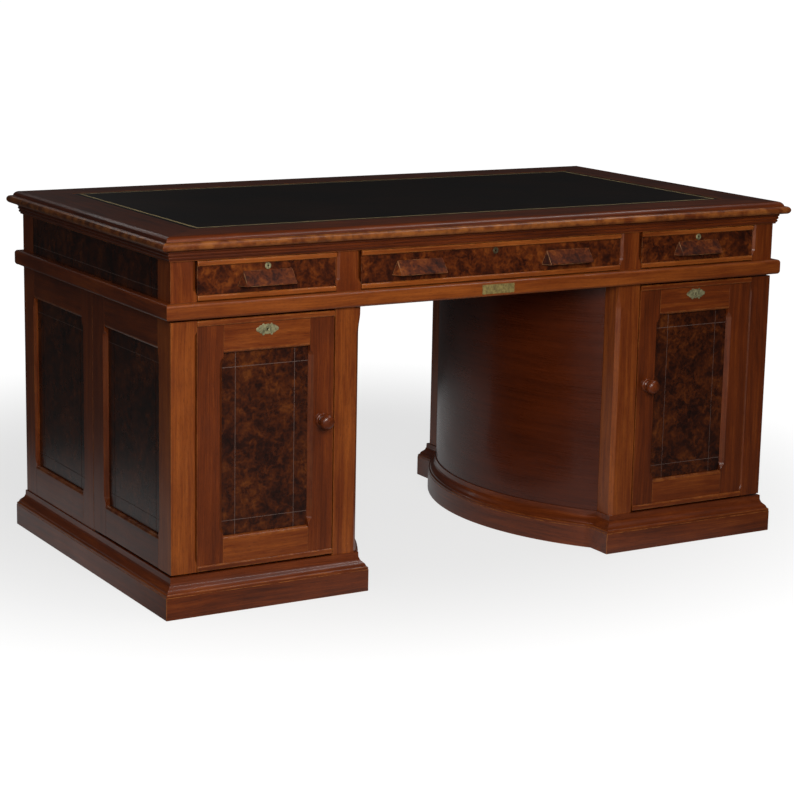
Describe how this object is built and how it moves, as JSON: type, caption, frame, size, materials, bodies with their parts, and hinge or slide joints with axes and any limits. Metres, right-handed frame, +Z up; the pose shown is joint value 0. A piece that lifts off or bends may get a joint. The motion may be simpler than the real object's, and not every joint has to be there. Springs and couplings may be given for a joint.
{
  "type": "writing desk with drawers",
  "caption": "Pedestal writing desk with frieze drawers, a leather top, a curved-walled kneehole and pedestal cases that swing outwards on vertical pivots.",
  "frame": {"origin": "on the floor under the centre of the desk", "axes": "+X along the front, left to right as the sitter faces the desk; +Y from the front (sitter) to the back; +Z up"},
  "size_m": [1.54, 0.8396, 0.762],
  "materials": {
    "walnut": "polished red-brown walnut",
    "burl_walnut": "polished dark burl veneer",
    "inside_timber": "unpolished plain timber",
    "desk_leather": "near-black, slight sheen",
    "brass_fittings": "aged",
    "iron_pivots": "dark"
  },
  "bodies": {
    "carcass": {"back_frames": "walnut", "bed_moulding": "walnut", "drawer_runners": "inside_timber", "dust_board": "inside_timber", "fixed_posts": "walnut", "frieze_panels": "burl_walnut", "frieze_posts": "walnut", "leather_inset": "desk_leather", "left_curved_wall": "walnut", "left_plinth": "walnut", "lock_keepers": "brass_fittings", "name_plate": "brass_fittings", "partitions": "inside_timber", "pedestal_floors": "inside_timber", "pivot_bushes": "iron_pivots", "plinth_mouldings": "walnut", "rear_panels": "burl_walnut", "rear_side_frames": "walnut", "right_curved_wall": "walnut", "right_plinth": "walnut", "top_border": "walnut", "top_core": "inside_timber", "waist_rails": "walnut"},
    "left_case": {"left_case_curved_skin": "walnut", "left_case_ends": "inside_timber", "left_case_front_frame": "walnut", "left_case_front_panel": "burl_walnut", "left_case_knob": "walnut", "left_case_lock": "brass_fittings", "left_case_pigeonholes": "inside_timber", "left_case_pivot_pins": "iron_pivots", "left_case_post": "walnut", "left_case_side_frame": "walnut", "left_case_side_panel": "burl_walnut"},
    "right_case": {"right_case_curved_skin": "walnut", "right_case_ends": "inside_timber", "right_case_front_frame": "walnut", "right_case_front_panel": "burl_walnut", "right_case_knob": "walnut", "right_case_lock": "brass_fittings", "right_case_pigeonholes": "inside_timber", "right_case_pivot_pins": "iron_pivots", "right_case_post": "walnut", "right_case_side_frame": "walnut", "right_case_side_panel": "burl_walnut"},
    "left_drawer": {"left_drawer_bottom": "inside_timber", "left_drawer_box": "inside_timber", "left_drawer_front": "burl_walnut", "left_drawer_lock": "brass_fittings", "left_drawer_pulls": "walnut"},
    "centre_drawer": {"centre_drawer_bottom": "inside_timber", "centre_drawer_box": "inside_timber", "centre_drawer_front": "burl_walnut", "centre_drawer_lock": "brass_fittings", "centre_drawer_pulls": "walnut"},
    "right_drawer": {"right_drawer_bottom": "inside_timber", "right_drawer_box": "inside_timber", "right_drawer_front": "burl_walnut", "right_drawer_lock": "brass_fittings", "right_drawer_pulls": "walnut"}
  },
  "joints": [
    {"name": "left_case_swing", "type": "hinge", "parent": "carcass", "child": "left_case", "pos_m": [-0.734, -0.008, 0.338], "axis": [0, 0, -1], "range_deg": [0, 90]},
    {"name": "right_case_swing", "type": "hinge", "parent": "carcass", "child": "right_case", "pos_m": [0.734, -0.008, 0.338], "axis": [0, 0, 1], "range_deg": [0, 90]},
    {"name": "left_drawer_slide", "type": "slide", "parent": "carcass", "child": "left_drawer", "axis": [0, -1, 0], "range_m": [0, 0.42]},
    {"name": "centre_drawer_slide", "type": "slide", "parent": "carcass", "child": "centre_drawer", "axis": [0, -1, 0], "range_m": [0, 0.42]},
    {"name": "right_drawer_slide", "type": "slide", "parent": "carcass", "child": "right_drawer", "axis": [0, -1, 0], "range_m": [0, 0.42]}
  ]
}
